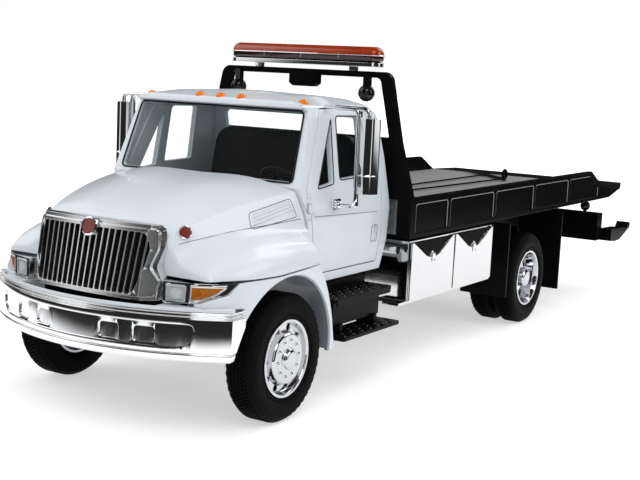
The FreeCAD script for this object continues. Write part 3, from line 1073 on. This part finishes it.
def headboard():
    """Cab guard: bent strip frame with a plate between its legs and a lamp box under its bar."""
    y0, y1 = DECK_FRONT - HEADBOARD_DEPTH, DECK_FRONT
    top = HEADBOARD_TOP
    outer = both_sides([(HEADBOARD_HALF_TOP + 2.0, top), (44.8, HEADBOARD_WAIST), (DECK_HALF, SIDE_TOP),
                        (DECK_HALF, SIDE_BOTTOM)])
    inner = both_sides([(HEADBOARD_HALF_TOP - 2.2, top - 2.3), (39.8, HEADBOARD_SHEET)])
    frame = prism_y(outer, y0, y1, [4.0, 6.0, 6.0, 0, 0, 6.0, 6.0, 4.0])
    frame = frame.cut(prism_y(inner, y0 - 1, y1 + 1, [2.2, 0.6, 0.6, 2.2]))
    plate_cut = both_sides([(DECK_HALF - 6.0, SIDE_TOP - 1.0), (DECK_HALF - 6.0, SIDE_BOTTOM - 1.0)])
    frame = frame.cut(prism_y(plate_cut, y0 - 1, y1 + 1))
    lamp = prism_y(both_sides([(6.4, top - 1.0), (6.4, top - 5.7), (4.6, top - 6.9)]), y0 - 0.5, y1 + 0.5)
    return fuse(frame, lamp)


def front_plate():
    """Tread plate along the deck's front edge under the headboard's panel."""
    half = DECK_HALF - 6.0 - SEAT_GAP
    return box(-half, half, DECK_FRONT - 1.4, DECK_FRONT, SIDE_BOTTOM + 1.0, SIDE_TOP - 1.0 - SEAT_GAP)


def work_lamps():
    """Two ball lamps hung from the headboard's bar by forked brackets."""
    lamps = []
    y = DECK_FRONT - HEADBOARD_DEPTH - 1.6
    top = HEADBOARD_TOP
    for x in (30.0, -30.0):
        ball = Part.makeSphere(3.2, Vector(x, y, top - 8.3))
        bracket = box(x - 1.2, x + 1.2, y - 1.0, y + 1.6, top - 6.1, top - 1.3)
        lamps.append(fuse(ball, bracket))
    return Part.makeCompound(lamps)


def light_bar_base():
    """Chrome tray of the light bar on two feet that stand on the headboard."""
    y = DECK_FRONT - HEADBOARD_DEPTH / 2
    end, z0, z1 = LIGHT_BAR_HALF - LIGHT_BAR_RADIUS, LIGHT_BAR_BOTTOM, LIGHT_BAR_BOTTOM + LIGHT_BAR_TRAY
    tray = box(-end, end, y - LIGHT_BAR_RADIUS, y + LIGHT_BAR_RADIUS, z0, z1)
    ends = [rod((s * end, y, z0), (s * end, y, z1), LIGHT_BAR_RADIUS) for s in (-1, 1)]
    feet = [box(s * 22 - 1.4, s * 22 + 1.4, y - 1.3, y + 1.3, HEADBOARD_TOP, z0) for s in (-1, 1)]
    return fuse(tray, *ends, *feet)


def light_bar_lens():
    """Long moulded lens with rounded ends and a flat crown, on the tray."""
    y = DECK_FRONT - HEADBOARD_DEPTH / 2
    r, end = LIGHT_BAR_RADIUS, LIGHT_BAR_HALF - LIGHT_BAR_RADIUS
    z0, z1 = LIGHT_BAR_BOTTOM + LIGHT_BAR_TRAY, LIGHT_BAR_TOP
    section = [(y - r, z0), (y - r + 0.4, z1 - 0.4), (y + r - 0.4, z1 - 0.4), (y + r, z0)]
    middle = prism_x(section, -end, end, [0, 1.4, 1.4, 0])
    ends = [Part.makeCone(r, r - 0.8, z1 - z0 - 0.4, Vector(s * end, y, z0)) for s in (-1, 1)]
    crown = prism_x([(y - 2.6, z1 - 0.6), (y - 2.2, z1), (y + 2.2, z1), (y + 2.6, z1 - 0.6)], -end, end)
    return fuse(middle, *ends, crown)


def winch():
    """Drum winch bolted to the deck just behind the headboard."""
    y, z = DECK_FRONT + 10.0, DECK_TOP + 4.6
    base = box(-12.0, 12.0, y - 4.0, y + 4.0, DECK_TOP, DECK_TOP + 1.0)
    cheeks = [prism_x([(y - 4.0, DECK_TOP), (y - 3.6, z + 3.0), (y + 3.6, z + 3.0), (y + 4.0, DECK_TOP)], a, b, [0, 2, 2, 0])
              for a, b in ((-10.0, -8.4), (8.4, 10.0))]
    drum = rod((-9.0, y, z), (9.0, y, z), 2.6)
    motor = rod((9.0, y, z), (15.0, y, z), 3.0)
    return fuse(base, drum, motor, *cheeks)


def winch_line():
    """Taut double line from the winch to the hook bar that lies across the deck's rear."""
    z, start, end = DECK_TOP + 0.8, DECK_FRONT + 15.0, DECK_REAR - 37.0
    hook = (-27.0, DECK_REAR - 2.0)
    left = rod((-6.4, start, z), (-9.9, DECK_REAR - 11.0, z), 0.5)
    right = rod((1.0, start, z), (7.2, end + 2.0, z), 0.5)
    bar = rod(hook + (z + 0.4,), (11.0, end, z + 0.4), 0.9)
    ring = Part.makeTorus(2.2, 0.8, Vector(11.0, end, z + 3.0), Vector(1, 0, 0))
    leg = rod(hook + (DECK_TOP + 0.2,), hook + (z + 2.6,), 0.9)
    return fuse(left, right, bar, ring, leg)


# Output

def place(shape):
    shape.translate(Vector(0, -MID_LENGTH, 0))
    return shape


def write(node, shape):
    place(shape).exportStep("parts/%s.step" % node)


def write_pair(node, shape):
    write(node + "_right", mirrored(shape))
    write(node + "_left", shape)


def main():
    os.makedirs("parts", exist_ok=True)
    write_pair("front_tyre", tyre(FRONT_FACE_X, FRONT_TYRE_WIDTH, 0.0))
    write_pair("front_rim", front_rim())
    write_pair("rear_tyres", rear_tyres())
    write_pair("rear_rims", rear_rims())
    write("front_axle", front_axle())
    write("rear_axle", rear_axle())
    write("drive_shaft", drive_shaft())
    write("frame_rails", frame_rails())
    write("engine_block", engine_block())
    write("front_bumper", front_bumper())
    write("valance", valance())
    write_pair("fender", fender())
    write_pair("headlamp", headlamp())
    write("hood", hood())
    write("grille", grille())
    write("grille_backing", grille_backing())
    write("cab_shell", cab_shell())
    write("cab_glass", cab_glass())
    write("cab_seats", cab_seats())
    write("dashboard", dashboard())
    write("steering_wheel", steering_wheel())
    write("roof_lamps", roof_lamps())
    write_pair("door", door())
    write_pair("door_glass", door_glass())
    write_pair("mirror", mirror())
    write_pair("cab_steps", cab_steps())
    write_pair("toolbox", toolbox())
    write("cross_tube", cross_tube())
    write("mudflaps", mudflaps())
    write("subframe", subframe())
    write("tail_board", tail_board())
    write("rear_work_lamps", rear_work_lamps())
    write("lift_boom", lift_boom())
    write("lift_crossbar", lift_crossbar())
    write("deck_floor", deck_floor())
    write_pair("side_rail", side_rail())
    write("tail_plate", tail_plate())
    write("headboard", headboard())
    write("front_plate", front_plate())
    write("work_lamps", work_lamps())
    write("light_bar_base", light_bar_base())
    write("light_bar_lens", light_bar_lens())
    write("winch", winch())
    write("winch_line", winch_line())


main()
